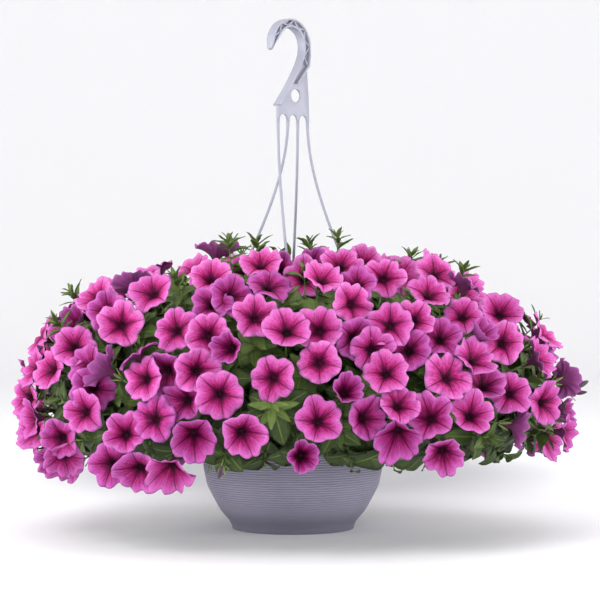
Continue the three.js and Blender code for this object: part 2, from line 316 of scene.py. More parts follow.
class Surface:
    """A node material, built up through a few short calls."""

    def __init__(self, name, roughness=0.5, **settings):
        self.material = bpy.data.materials.new(name)
        self.material.use_nodes = True
        self.tree = self.material.node_tree
        self.shader = self.tree.nodes["Principled BSDF"]
        self.shader.inputs["Roughness"].default_value = roughness
        for socket, value in settings.items():
            self.shader.inputs[socket.replace("_", " ")].default_value = value

    def put(self, value, socket):
        """Links another node's output to a socket, or sets the socket to a plain value."""
        if isinstance(value, Output):
            self.tree.links.new(value.socket, socket)
        else:
            socket.default_value = value

    def node(self, kind, inputs, **settings):
        made = self.tree.nodes.new(kind)
        for name, value in settings.items():
            setattr(made, name, value)
        for name, value in inputs.items():
            self.put(value, made.inputs[name])
        return made

    def output(self, name, kind, inputs, **settings):
        return Output(self, self.node(kind, inputs, **settings).outputs[name])

    def math(self, operation, first, second=0.0):
        return self.output(0, "ShaderNodeMath", {0: first, 1: second}, operation=operation)

    def look(self):
        """The four numbers stored at each point."""
        stored = self.node("ShaderNodeAttribute", {}, attribute_name="look").outputs
        first_three = self.node("ShaderNodeSeparateColor", {0: Output(self, stored["Color"])}).outputs
        return [Output(self, socket) for socket in (*first_three, stored["Alpha"])]

    def place(self):
        return self.output("Object", "ShaderNodeTexCoord", {})

    def split(self, place):
        return [Output(self, socket) for socket in self.node("ShaderNodeSeparateXYZ", {0: place}).outputs]

    def noise(self, scale, detail=2.0, place=None, roughness=0.5):
        return self.output("Fac", "ShaderNodeTexNoise", {
            "Vector": place or self.place(), "Scale": scale, "Detail": detail, "Roughness": roughness})

    def cells(self, scale, place=None, feature="F1"):
        """Distance to the middle of the nearest of many scattered cells, or to its edge."""
        return self.output("Distance", "ShaderNodeTexVoronoi", {
            "Vector": place or self.place(), "Scale": scale}, feature=feature)

    def smooth(self, value, outer, inner):
        """0 at outer, rising to 1 at inner."""
        return self.output("Result", "ShaderNodeMapRange", {
            "Value": value, "From Min": min(outer, inner), "From Max": max(outer, inner),
            "To Min": float(inner < outer), "To Max": float(inner > outer),
        }, interpolation_type="SMOOTHSTEP")

    def ramp(self, value, stops):
        made = self.node("ShaderNodeValToRGB", {0: value})
        band = made.color_ramp
        while len(band.elements) < len(stops):
            band.elements.new(1.0)
        for element, (position, colour) in zip(band.elements, stops):
            element.position = position
            element.color = (*colour, 1.0)
        return Output(self, made.outputs[0])

    def mix(self, amount, first, second, blend="MIX"):
        """Two colours mixed. Each is another node's output or a plain (red, green, blue)."""
        made = self.node("ShaderNodeMix", {"Factor": amount}, data_type="RGBA", blend_type=blend)
        for value, name in ((first, "A"), (second, "B")):
            socket = next(s for s in made.inputs if s.name == name and s.type == "RGBA")
            self.put(value if isinstance(value, Output) else (*value, 1.0), socket)
        return Output(self, next(s for s in made.outputs if s.type == "RGBA"))

    def bump(self, height, strength, distance):
        self.put(self.output(0, "ShaderNodeBump", {
            "Strength": strength, "Distance": distance, "Height": height}), self.shader.inputs["Normal"])

    def finish(self, colour):
        self.put(colour, self.shader.inputs["Base Color"])
        return self.material


def srgb(red, green, blue):
    """A colour as usually written, from 0 to 255, in the shader's linear numbers."""
    def linear(value):
        share = value / 255
        return share / 12.92 if share < 0.04045 else ((share + 0.055) / 1.055) ** 2.4
    return linear(red), linear(green), linear(blue)


def petal_material():
    """look is: distance from the throat, distance from a lobe's midline, back of the petal, tone. The tone is
    partly the flowers' own colour and partly painted shade.
    """
    s = Surface("petal", roughness=0.65, Specular_IOR_Level=0.14)
    out, across, back, tone = s.look()
    wander = s.noise(110, 3)
    uneven = (wander - 0.5) * 0.16
    # The dark throat reaches further out along each lobe's midline, like a star.
    star = (across - 0.55) * 0.2 * (1.0 - out)
    front = s.ramp(out + uneven + star, [
        (0.00, srgb(6, 1, 5)), (0.11, srgb(10, 2, 8)), (0.17, srgb(62, 4, 42)),
        (0.25, srgb(134, 10, 78)), (0.42, srgb(192, 42, 122)), (0.70, srgb(212, 88, 168)),
        (1.00, srgb(223, 132, 202)),
    ])
    vein = petal_veins(s, out, across, tone, wander)
    front = s.mix(vein, front, srgb(88, 2, 52))
    reverse = s.ramp(out + uneven, [
        (0.10, srgb(84, 38, 66)), (0.50, srgb(132, 58, 118)), (1.00, srgb(178, 98, 168))])
    reverse = s.mix(vein * 0.5, reverse, srgb(90, 32, 74))
    # A darker lilac by tone: partly the flowers' own colour, partly painted shade.
    lilac_tint_and_shade = s.mix(tone, srgb(255, 255, 255), srgb(200, 174, 212))
    front = s.mix(1.0, front, lilac_tint_and_shade, "MULTIPLY")
    mottle = s.ramp(s.noise(420, 4), [(0.3, (0.86, 0.84, 0.87)), (0.7, (1.0, 1.0, 1.0))])
    colour = s.mix(1.0, s.mix(back, front, reverse), mottle, "MULTIPLY")
    s.bump(wander - vein, 0.4, 0.7 * MM)
    return s.finish(colour)


def petal_veins(s, out, across, tone, wander):
    """How much of a vein is at each point: one down each lobe's middle, streaks that fan out, and a net."""
    fade = 1.1 - out
    edge = across + (out - wander) * 0.13
    broad = s.smooth(edge, 0.13, 0.05) * fade ** 0.3
    fanned = s.output(0, "ShaderNodeCombineXYZ", {
        0: out * 2.0 + wander * 0.6, 1: across * 6.0, 2: tone * 40.0})
    ridge = abs(s.noise(1.0, 2, fanned) - 0.5)
    streak = s.smooth(ridge, 0.07, 0.0) * (fade * 1.2)
    net = s.cells(1.3, fanned, "DISTANCE_TO_EDGE")
    fine = s.smooth(net, 0.12, 0.0) * (fade * 0.6)
    return s.math("MAXIMUM", broad, s.math("MAXIMUM", streak, fine))


def leaf_material():
    """look is: distance along the leaf, distance from its midrib, underside, tone. The tone is partly the
    leaves' own colour and partly painted light and shade.
    """
    s = Surface("leaf", roughness=0.55, Specular_IOR_Level=0.35)
    along, across, under, tone = s.look()
    patches = s.noise(60, 3)
    green = s.ramp(patches * 0.45 + tone * 0.7, [
        (0.15, srgb(24, 34, 12)), (0.5, srgb(50, 68, 24)), (0.95, srgb(104, 126, 50))])
    green = s.mix(s.smooth(across, 0.1, 0.03), green, srgb(94, 116, 44))
    feather = s.math("SINE", (along - across * 0.28) * 44.0)
    vein = abs(feather) ** 10.0
    green = s.mix(vein * 0.2, green, srgb(90, 112, 42))
    green = s.mix(under, green, srgb(80, 100, 46))
    s.bump(vein + patches * 2.0, 0.35, 0.8 * MM)
    return s.finish(green)


def stem_material():
    s = Surface("stem", roughness=0.6)
    shade = s.noise(140, 3)
    s.bump(s.noise(900, 2), 0.3, 0.3 * MM)
    return s.finish(s.ramp(shade, [(0.3, srgb(70, 92, 42)), (0.7, srgb(124, 142, 76))]))


def bud_material():
    """look is: distance along the bud, how far out on its folds, and two numbers that aren't used."""
    s = Surface("bud", roughness=0.6, Sheen_Weight=0.2)
    along, fold, _, _ = s.look()
    colour = s.ramp(along, [(0.0, srgb(70, 80, 50)), (0.3, srgb(60, 32, 52)), (1.0, srgb(32, 13, 30))])
    colour = s.mix(fold * 0.35, colour, srgb(92, 46, 84))
    s.bump(s.noise(500, 2), 0.3, 0.4 * MM)
    return s.finish(colour)


def plastic_grain(s):
    """A fine matte grain over a slight mottle, which it returns."""
    mottle = s.noise(25, 4)
    s.bump(mottle * 0.6 + s.noise(2600, 2), 0.18, 0.15 * MM)
    return mottle


def moulded_plastic(name, light, dark, roughness):
    s = Surface(name, roughness=roughness, Specular_IOR_Level=0.45)
    return s.finish(s.ramp(plastic_grain(s), [(0.3, dark), (0.7, light)]))


def reeded_plastic():
    """The pot's plastic, with painted shade down in its fine grooves and towards its foot."""
    s = Surface("pot_plastic", roughness=0.55, Specular_IOR_Level=0.45)
    _, _, height = s.split(s.place())
    reed = s.math("COSINE", (height - FOOT_H) * (FULL_TURN / REED_PITCH))
    # Painted shade down in the grooves, fading in with them.
    groove = s.smooth(reed, 0.6, -0.8) * s.smooth(height, REEDS_START, REEDS_FULL)
    colour = s.ramp(plastic_grain(s), [(0.3, srgb(147, 144, 163)), (0.7, srgb(155, 152, 171))])
    colour = s.mix(groove, colour, srgb(118, 115, 134))
    # Painted shade, darker towards the foot.
    colour = s.mix(s.smooth(height, 58 * MM, 4 * MM), colour, srgb(100, 97, 112))
    return s.finish(colour)


def soil_material():
    s = Surface("soil", roughness=0.95)
    crumbs = s.cells(420)
    colour = s.ramp(s.noise(260, 5), [
        (0.30, srgb(26, 18, 13)), (0.55, srgb(58, 42, 30)), (0.78, srgb(96, 74, 54))])
    s.bump(crumbs + s.noise(900, 4), 0.8, 1.5 * MM)
    return s.finish(colour)


def root_material():
    s = Surface("roots", roughness=0.9)
    threads = s.noise(500, 5, roughness=0.7)
    s.bump(threads, 0.8, 1.0 * MM)
    return s.finish(s.ramp(threads, [(0.35, srgb(52, 38, 28)), (0.62, srgb(150, 128, 98))]))


PETAL = petal_material()
LEAF = leaf_material()
STEM = stem_material()
BUD = bud_material()
POT_PLASTIC = reeded_plastic()
HANGER_PLASTIC = moulded_plastic("hanger_plastic", srgb(149, 150, 163), srgb(140, 141, 155), 0.45)
SOIL = soil_material()
ROOTS = root_material()
PERLITE = moulded_plastic("perlite", srgb(236, 232, 224), srgb(206, 200, 190), 0.9)


# ---- camera, stage and light ----

def make_camera():
    data = bpy.data.cameras.new("camera")
    data.lens = 116
    data.sensor_width = 36
    camera = add_object("camera", data)
    camera.location = (9.4 * MM, -2.6, 0.306)
    camera.rotation_euler = (math.radians(90), 0, 0)
    bpy.context.scene.camera = camera
    return camera


def studio_white_painted_shadow(wall_r):
    """Pale paint, with a painted shadow: a soft grey oval on the floor behind the pot."""
    s = Surface("studio_white_painted_shadow", roughness=0.9)
    place = s.place()
    away = s.output("Value", "ShaderNodeVectorMath", {0: place}, operation="LENGTH")
    pale = s.ramp(away / wall_r, [
        (0.05, (0.90, 0.895, 0.91)), (0.35, (0.90, 0.896, 0.908)), (0.9, (0.925, 0.923, 0.932))])
    across, depth, _ = s.split(place)
    shadow_half_width = 0.62
    shadow_half_depth = 0.72
    shadow_middle = 0.85
    aside = (abs(across) / shadow_half_width) ** 2.0
    beyond = (depth - shadow_middle) / shadow_half_depth
    reach = s.math("SQRT", aside + beyond * beyond)
    # The grey mixed in here is the painted shadow.
    return s.finish(s.mix(s.smooth(reach, 1.0, 0.35), pale, (0.40, 0.394, 0.41)))


def make_stage():
    """A round pale floor that curves up into a wall on every side."""
    floor_r = 5.0
    wall_r = 7.0
    wall_z = 6.0
    bend = wall_r - floor_r
    turns = [math.radians(7.5 * step) for step in range(1, 13)]
    curve = [(1.0, 0.0), (floor_r, 0.0)]
    curve += [(floor_r + bend * math.sin(turn), bend * (1 - math.cos(turn))) for turn in turns]
    curve.append((wall_r, wall_z))
    pile = Pile()
    pile.add(lathe_rings(curve, 96), closed=False)
    pile.build("studio_floor", [studio_white_painted_shadow(wall_r)])


def area_light(name, place, size, power, aim=(0, 0, 0.25)):
    data = bpy.data.lights.new(name, "AREA")
    data.shape = "DISK"
    data.size = size
    data.energy = power
    light = add_object(name, data)
    light.location = place
    light.rotation_euler = (Vector(aim) - Vector(place)).to_track_quat("-Z", "Y").to_euler()
    return light


def make_light():
    world = bpy.data.worlds.new("studio")
    world.use_nodes = True
    background = world.node_tree.nodes["Background"].inputs
    background["Color"].default_value = (0.98, 0.98, 0.992, 1)
    background["Strength"].default_value = 0.9
    bpy.context.scene.world = world
    bpy.context.scene.view_settings.view_transform = "Standard"
    area_light("key", (-1.4, -2.4, 2.6), 1.6, 46)
    area_light("top", (0.2, 0.3, 3.2), 3.0, 18)
    area_light("low_front", (0.0, -3.4, 0.5), 1.4, 36, aim=(0, 0, 0.1))
    for name, across in (("left", -2.6), ("right", 2.6)):
        area_light(name, (across, -0.6, 0.6), 1.4, 46, aim=(0, 0, 0.05))
    # A faint glow on the floor under the foliage, as light bounced off a white table gives.
    under = area_light("under_foliage", (0.02, 0.12, 0.075), 0.70, 0.16, aim=(0.02, 0.12, 0))
    under.data.shape = "ELLIPSE"
    under.data.size_y = 0.42
    under.visible_camera = False


CAMERA = make_camera()
make_stage()
make_light()


# ---- pot ----

# The bowl's outer side above its foot ring: fillet and flare, as (radius, height) in millimetres.
BOWL_SIDE = [(82.8, 8), (88.7, 14.5), (97.7, 25), (106.7, 41), (115.6, 58), (121, 85), (121.6, 143)]


def bowl_radius(height):
    """The bowl's radius at a height, with its side as straight stretches."""
    radii, heights = zip(*BOWL_SIDE)
    return float(np.interp(height / MM, heights, radii)) * MM


def smooth_bowl(height):
    """The bowl's radius averaged over a few millimetres, so that its side has no corners."""
    reach = 5 * MM
    spots = [height + reach * share for share in (-1, -0.6, -0.3, 0, 0.3, 0.6, 1)]
    return sum(bowl_radius(max(spot, FOOT_H)) for spot in spots) / len(spots)


def make_pot():
    """The bowl, turned from one outline: up the outside, over the rim and down the inside."""
    wall = 2.4 * MM
    ledge = 3 * MM
    lip_drop = 14 * MM
    foot_r = 81.7 * MM
    foot_inner_r = foot_r - 6 * MM
    floor_z = 6 * MM
    edge = 0.5 * MM
    centre_r = 2 * MM
    rows = [(centre_r, floor_z), (foot_inner_r - 2 * MM, floor_z), (foot_inner_r - MM, floor_z - edge),
            (foot_inner_r, edge), (foot_inner_r + edge, 0), (foot_r - edge, 0), (foot_r, edge),
            (foot_r + edge, FOOT_H / 2)]
    height = FOOT_H
    while height < RIM_Z - ledge - MM:
        share = (height - FOOT_H) / REED_PITCH
        rise = min(1.0, max(0.0, (height - REEDS_START) / (REEDS_FULL - REEDS_START)))
        groove = REED_DEPTH * rise * (0.5 - 0.5 * math.cos(FULL_TURN * share)) ** 2
        rows.append((smooth_bowl(height) - groove, height))
        height += REED_PITCH / 6
    under = RIM_Z - ledge
    rows += [(bowl_radius(under), under), (RIM_R - wall, under), (RIM_R - wall, RIM_Z - lip_drop + edge),
             (RIM_R - wall + edge, RIM_Z - lip_drop), (RIM_R - edge, RIM_Z - lip_drop),
             (RIM_R, RIM_Z - lip_drop + edge), (RIM_R, RIM_Z - edge), (RIM_R - edge, RIM_Z),
             (bowl_radius(under) - wall + edge, RIM_Z), (bowl_radius(under) - wall, RIM_Z - edge)]
    steps = 12
    fillet_top = 14 * MM
    for step in range(steps, -1, -1):
        height = floor_z + wall + (under - floor_z - wall) * step / steps
        corner = 4 * MM if step == 0 else 0
        rows.append((smooth_bowl(max(height, fillet_top)) - wall - corner, height))
    rows.append((centre_r, floor_z + wall))
    pile = Pile()
    pile.add(lathe_rings(rows, 180))
    pot = pile.build("reeded_pot", [POT_PLASTIC])
    cut_holes(pot)
    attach(pot, "basket")
    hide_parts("pot")


SLOT_SIZE = (3.4 * MM, 8 * MM, 9 * MM)
DRAINS = 6
DRAIN_R = 5 * MM
DRAIN_RING_R = 48 * MM


def cut_holes(pot):
    """Cuts the rim's four slots, where the clips are, and the drainage holes."""
    cutters = []
    for side in SIDES:
        at = middle(f"hanger_clip_{side}")
        bpy.ops.mesh.primitive_cube_add(size=1, location=(at.x, at.y, RIM_Z))
        cutter = bpy.context.object
        cutter.scale = SLOT_SIZE
        cutter.rotation_euler.z = math.atan2(at.y, at.x)
        cutters.append(cutter)
    for drain in range(DRAINS):
        turn = FULL_TURN * drain / DRAINS
        bpy.ops.mesh.primitive_cylinder_add(
            vertices=32, radius=DRAIN_R, depth=20 * MM,
            location=(DRAIN_RING_R * math.cos(turn), DRAIN_RING_R * math.sin(turn), 6 * MM))
        cutters.append(bpy.context.object)
    for cutter in cutters:
        cut = pot.modifiers.new("cut", "BOOLEAN")
        cut.object = cutter
        cut.solver = "EXACT"
    apply_modifiers(pot)
    for cutter in cutters:
        bpy.data.objects.remove(cutter)


def apply_modifiers(piece):
    """Gives the piece the mesh that its modifiers make of it."""
    graph = bpy.context.evaluated_depsgraph_get()
    made = bpy.data.meshes.new_from_object(piece.evaluated_get(graph))
    piece.modifiers.clear()
    piece.data = made


# ---- hanger ----

def coat(piece, material):
    piece.data.shade_smooth()
    piece.data.materials.clear()
    piece.data.materials.append(material)


def rounded_copy(node, name, width):
    """A CAD node's shape with its edges rounded."""
    piece = add_object(name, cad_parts[node].data.copy())
    shape = bmesh.new()
    shape.from_mesh(piece.data)
    bmesh.ops.remove_doubles(shape, verts=shape.verts, dist=0.02 * MM)
    bmesh.ops.dissolve_limit(shape, angle_limit=math.radians(2), verts=shape.verts, edges=shape.edges)
    shape.to_mesh(piece.data)
    shape.free()
    bevel = piece.modifiers.new("round", "BEVEL")
    bevel.width = width
    bevel.segments = 2
    bevel.limit_method = "ANGLE"
    bevel.angle_limit = math.radians(40)
    apply_modifiers(piece)
    coat(piece, HANGER_PLASTIC)
    piece.data.set_sharp_from_angle(angle=math.radians(35))
    return piece


def taper_tip(hook):
    """Draws the hook's free end in to a blunt point over its last stretch."""
    stretch = 15 * MM
    narrowing = 0.55
    along = Vector((math.cos(HANGER_TURN), math.sin(HANGER_TURN), 0))
    arm = [v for v in hook.data.vertices
           if v.co.dot(along) < -28 * MM and HOOK_TOP - 52 * MM < v.co.z < HOOK_TOP - 12 * MM]
    lowest = min(v.co.z for v in arm)
    end = [v.co for v in arm if v.co.z < lowest + 3 * MM]
    centre = sum(end, Vector()) / len(end)
    for v in arm:
        share = max(0.0, 1 - (v.co.z - lowest) / stretch)
        level = Vector((centre.x, centre.y, v.co.z))
        v.co = level + (v.co - level) * (1 - narrowing * share ** 1.5)


STRAND_R = 1.9 * MM
STRAND_STEPS = 48


def strand_rings(top, foot):
    """An S-shaped round strand, a little thicker where it leaves the plate and enters its clip."""
    path = []
    radii = []
    for step in range(STRAND_STEPS + 1):
        part = step / STRAND_STEPS
        along = part * part * (3 - 2 * part)
        path.append((top.x + (foot.x - top.x) * along, top.y + (foot.y - top.y) * along,
                     top.z + (foot.z - top.z) * part))
        from_end = min(step, STRAND_STEPS - step)
        radii.append(STRAND_R * (1 + 0.25 * math.exp(-from_end / 1.5)))
    return tube_rings(path, radii, 16)


def make_hanger():
    hook = rounded_copy("hanger_hook", "ribbed_hook", 0.45 * MM)
    taper_tip(hook)
    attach(hook, "hook")
    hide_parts("hanger_hook")
    for side, (top, foot) in STRAND_LINES.items():
        pile = Pile()
        pile.add(strand_rings(top, foot))
        strand = pile.build(f"strand_{side}", [HANGER_PLASTIC])
        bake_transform(strand)
        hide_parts(f"hanger_strand_{side}")
        clip = rounded_copy(f"hanger_clip_{side}", f"snap_clip_{side}", 0.3 * MM)
        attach(clip, "clips")
        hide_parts(f"hanger_clip_{side}")


# ---- soil and root balls ----

def lumpy_copy(node, name, grain, depth, material):
    """A CAD node's shape with a fine, lumpy skin that only ever goes inwards."""
    piece = add_object(name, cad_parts[node].data.copy())
    remesh = piece.modifiers.new("grain", "REMESH")
    remesh.mode = "VOXEL"
    remesh.voxel_size = grain
    clouds = bpy.data.textures.new(name, "CLOUDS")
    clouds.noise_scale = grain * 3
    clouds.noise_depth = 3
    lumps = piece.modifiers.new("lumps", "DISPLACE")
    lumps.texture = clouds
    lumps.strength = depth
    lumps.mid_level = 1.0
    apply_modifiers(piece)
    coat(piece, material)
    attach(piece, "basket")
    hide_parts(node)
    return piece


PERLITE_CRUMBS = 90


def make_soil():
    lumpy_copy("potting_soil", "potting_soil_crumbs", 2.2 * MM, 4 * MM, SOIL)
    for plant in PLANTS:
        ball = lumpy_copy(f"root_plug_{plant}", f"root_ball_{plant}", 1.2 * MM, 2 * MM, ROOTS)
    pile = Pile()
    soil_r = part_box("potting_soil")[1][0]
    for _ in range(PERLITE_CRUMBS):
        turn = rng.uniform(0, FULL_TURN)
        radius = (soil_r - 8 * MM) * math.sqrt(rng.random())
        size = rng.uniform(1.2, 2.6) * MM
        at = Vector((radius * math.cos(turn), radius * math.sin(turn), SOIL_Z - 1.5 * MM))
        path = [at + Vector((0, 0, size * rise)) for rise in (-0.9, -0.5, 0.1, 0.6, 0.9)]
        widths = [size * rng.uniform(0.8, 1.2) * share for share in (0.4, 0.9, 1.0, 0.75, 0.3)]
        pile.add(tube_rings(path, widths, 6))
    perlite = pile.build("perlite_crumbs", [PERLITE])
    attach(perlite, "basket")


# ---- leaves, buds and shoots ----

LEAF_ALONG = np.array([0.0, 0.05, 0.14, 0.28, 0.44, 0.60, 0.76, 0.90, 1.0])
LEAF_ACROSS = np.array([-1, -0.5, 0, 0.5, 1, 0.5, 0, -0.5])
LEAF_UNDER = np.array([0, 0, 0, 0, 0, 1, 1, 1])
LEAF_THICK = 0.5 * MM
LOWEST_LEAF = 86 * MM
BESIDE_POT = 112 * MM              # further out than this, leaves hang beside the pot
LOWEST_BESIDE_POT = 98 * MM
FURTHEST_OUT = 392 * MM            # how far leaves reach along X or Y
FURTHEST_FLOWER = 386 * MM
SHOOTS = 165
LEAVES_PER_SHOOT = 21
FAR_OUT = 270 * MM                 # at the basket's two ends the buds are longer
MORE_IN_ROSETTE = 9
ROSETTE_SHARE = 0.35
STEM_SLOT, LEAF_SLOT, BUD_SLOT = 0, 1, 2


def unit(direction):
    direction = np.asarray(direction, float)
    return direction / np.linalg.norm(direction)


def leaf_rings(base, ahead, up, length, width, fold, droop, wave):
    """An ovate leaf. ahead is where it points at its base, and up is where its upper face looks."""
    ahead = unit(ahead)
    side = unit(np.cross(ahead, up))
    face = np.cross(side, ahead)
    bend = (droop * LEAF_ALONG)[:, None]
    steps = np.diff(LEAF_ALONG, prepend=0)[:, None] * length
    spine = np.asarray(base) + np.cumsum(steps * (np.cos(bend) * ahead - np.sin(bend) * face), axis=0)
    normal = np.cos(bend) * face + np.sin(bend) * ahead
    bow = np.clip(np.sin(math.pi * LEAF_ALONG ** 0.8), 0, 1) ** 0.85
    half = (length * width * bow + 0.35 * MM)[:, None]
    ripple = wave * length * np.sin(LEAF_ALONG * 11 + rng.uniform(0, FULL_TURN))[:, None]
    rise = (fold * half + ripple) * np.abs(LEAF_ACROSS) - LEAF_THICK * LEAF_UNDER
    return (spine[:, None] + (half * LEAF_ACROSS)[..., None] * side + rise[..., None] * normal[:, None])


def has_room(rings):
    """True inside the basket's size, where neither a strand nor a flower's face needs the room."""
    points = rings.reshape(-1, 3)
    beside_pot = np.hypot(points[:, 0], points[:, 1]) > BESIDE_POT
    too_low = points[:, 2].min() < LOWEST_LEAF or (points[beside_pot, 2] < LOWEST_BESIDE_POT).any()
    if too_low or np.abs(points[:, :2]).max() > FURTHEST_OUT:
        return False
    return not in_strand_way(points, LEAF_CLEARANCE) and not BED.covers(points)


def add_leaf(pile, base, ahead, up, length, width=0.29, fold=0.3, droop=0.6, wave=0.02, tone=0.5,
             slot=LEAF_SLOT, sepal=False):
    """Adds a leaf, or a sepal, if there is room for it."""
    rings = leaf_rings(base, ahead, up, length, width, fold, droop, wave)
    if not sepal and not has_room(rings):
        return
    pile.add(rings, look_of(rings, LEAF_ALONG[:, None], np.abs(LEAF_ACROSS), LEAF_UNDER, tone), slot)


def add_calyx(pile, base, ahead, length, slot):
    """Five narrow green sepals round the base of a flower or bud."""
    axes = frame_towards(ahead, rng.uniform(0, FULL_TURN))
    for sepal in range(5):
        outward = sideways(axes, sepal * FULL_TURN / 5)
        add_leaf(pile, np.asarray(base) + outward * 1.8 * MM, axes[:, 2] + outward * rng.uniform(0.35, 0.6),
                 -outward, length * rng.uniform(0.85, 1.15), width=0.11, fold=0.2,
                 droop=rng.uniform(0.0, 0.4), slot=slot, sepal=True)


def add_bud(pile, stalk, base, ahead, length):
    """A furled bud: a slim tube that swells, then narrows to a twisted tip."""
    ahead = unit(ahead)
    axes = frame_towards(ahead)
    sway = axes[:, 0] * rng.uniform(-0.12, 0.12) * length + axes[:, 1] * rng.uniform(-0.12, 0.12) * length
    rows = 10
    shares = np.linspace(0, 1, rows)
    path = [np.asarray(base) + ahead * length * share + sway * share ** 2 for share in shares]
    swell = np.interp(shares, [0, 0.3, 0.62, 0.85, 1], [1.5, 2.1, 3.6, 2.6, 0.7]) * MM * length / (30 * MM)
    around = 15
    rings = tube_rings(path, np.ones(rows), around)
    centre = np.array(path)[:, None]
    turn = np.arange(around) * FULL_TURN / around
    furl = np.cos(5 * turn[None, :] + shares[:, None] * 5)
    radii = swell[:, None] * (1 + 0.16 * furl * shares[:, None] ** 0.5)
    rings = centre + (rings - centre) * radii[..., None]
    look = look_of(rings, shares[:, None], 0.5 + 0.5 * furl, 0, rng.random())
    if has_room(rings):
        pile.add(tube_rings([stalk, (Vector(stalk) + Vector(base)) / 2, base], [0.8 * MM] * 3, 7),
                 slot=STEM_SLOT)
        pile.add(rings, look, BUD_SLOT)
        add_calyx(pile, base, ahead, 13 * MM, STEM_SLOT)


def plant_near(point):
    """The plant whose quarter of the basket a point is in."""
    return max(PLANTS, key=lambda plant: middle(f"root_plug_{plant}").to_2d().dot(point.to_2d()))


def stem_path(plant, tip, ahead):
    """A stem's way from the plant's crown, up and over to its tip."""
    plug = middle(f"root_plug_{plant}")
    start = Vector((plug.x + rng.uniform(-9, 9) * MM, plug.y + rng.uniform(-9, 9) * MM, SOIL_Z - 3 * MM))
    reach = (tip - start).length
    rise = start + Vector((0, 0, 0.42 * reach)) + (tip - start) * 0.08
    return interpolate_bezier(start, rise, tip - ahead * 0.40 * reach, tip, 40)


def leafy_end(path, length):
    """The last stretch of a path, and the rest of it."""
    left = length
    for index in range(len(path) - 1, 0, -1):
        left -= (path[index] - path[index - 1]).length
        if left <= 0:
            return path[index - 1:], path[:index]
    return path, path[:2]


def leaf_shape(share, tip, rosette):
    """Length, slimness, droop and tone of a leaf at a share of the way down a shoot."""
    height = min(1.0, max(0.0, (tip.z - RIM_Z) / CANOPY_UP))
    length = np.interp(share, [0, 0.12, 0.4, 1], [13, 24, 38, 44]) * MM * rng.uniform(0.78, 1.16)
    slim = np.interp(share, [0, 0.25, 1], [0.19, 0.29, 0.34])
    droop = rng.uniform(0.1, 1.1)
    # Leaves near the tip are lighter, as young leaves are; leaves higher up are lighter, which is painted
    # light.
    tone = 0.15 + 0.4 * height + 0.35 * (1 - share)
    if rosette and share < 0.55:
        return length * 0.85, slim * 0.56, droop * 0.5, 0.7
    # Leaves hanging below the rim get a darker tone, which is painted shade.
    if tip.z < RIM_Z - 20 * MM:
        return length * 1.12, slim * 1.3, droop * 0.6 + 0.3, tone * 0.7
    return length, slim, droop, tone


def add_leaves(pile, path, leaves, first_turn, crowding, shape):
    """Leaves in a spiral along a stem from its tip down; crowding above 1 brings more of them to the tip."""
    for leaf in range(leaves):
        share = (leaf + 0.5) / leaves
        at = (1 - share ** crowding) * (len(path) - 1)
        low = min(int(at), len(path) - 2)
        base = path[low].lerp(path[low + 1], at - low)
        along = unit(path[low + 1] - path[max(low - 1, 0)])
        axes = frame_towards(along)
        outward = sideways(axes, leaf * GOLDEN_ANGLE + first_turn)
        spread = math.radians(22 + 55 * min(1, share * 2.2) + rng.uniform(-12, 12))
        length, slim, droop, tone = shape(share)
        add_leaf(pile, base, along * math.cos(spread) + outward * math.sin(spread), along, length,
                 width=slim, fold=rng.uniform(0.1, 0.5), droop=droop, wave=rng.uniform(0.01, 0.04), tone=tone)


def make_shoot(number, plant, tip, ahead, stems, buds, rosette):
    """One leafy shoot end, with its buds; the stem below it goes into the plant's bundle."""
    end, rest = leafy_end(stem_path(plant, tip, ahead), 84 * MM)
    if not in_strand_way(rest, STEM_CLEARANCE):
        stems[plant].add(tube_rings(rest, np.linspace(2.1, 1.4, len(rest)) * MM, 7))
    while len(end) > 4 and BED.covers(np.array(end[-3:])):
        end.pop()
    pile = Pile()
    pile.add(tube_rings(end, np.linspace(1.4, 0.8, len(end)) * MM, 7), slot=STEM_SLOT)
    add_leaves(pile, end, LEAVES_PER_SHOOT + MORE_IN_ROSETTE * rosette, number, 1.7 if rosette else 1.1,
               lambda share: leaf_shape(share, tip, rosette))
    for _ in range(buds):
        axes = frame_towards(ahead)
        way = unit(axes[:, 2] + sideways(axes, rng.uniform(0, FULL_TURN)) * 0.45)
        longest = 48 if abs(tip.x) > FAR_OUT else 34
        add_bud(pile, end[-1], np.array(end[-1]) + way * 9 * MM, way, rng.uniform(24, longest) * MM)
    shoot = pile.build(f"shoot_{number:03d}", [STEM, LEAF, BUD])
    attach(shoot, "basket")
    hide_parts(f"foliage_{plant}")


# More tips under each strand, as distance from the axis and height.
UNDER_STRAND = [(45 * MM, 300 * MM), (45 * MM, 250 * MM), (75 * MM, 270 * MM), (75 * MM, 220 * MM),
                (105 * MM, 200 * MM)]
INNER_SLOPES = (-50, 86)
INNER_LAYERS = ((56 * MM, 74), (112 * MM, 42))   # depth inside the foliage, and how many tips


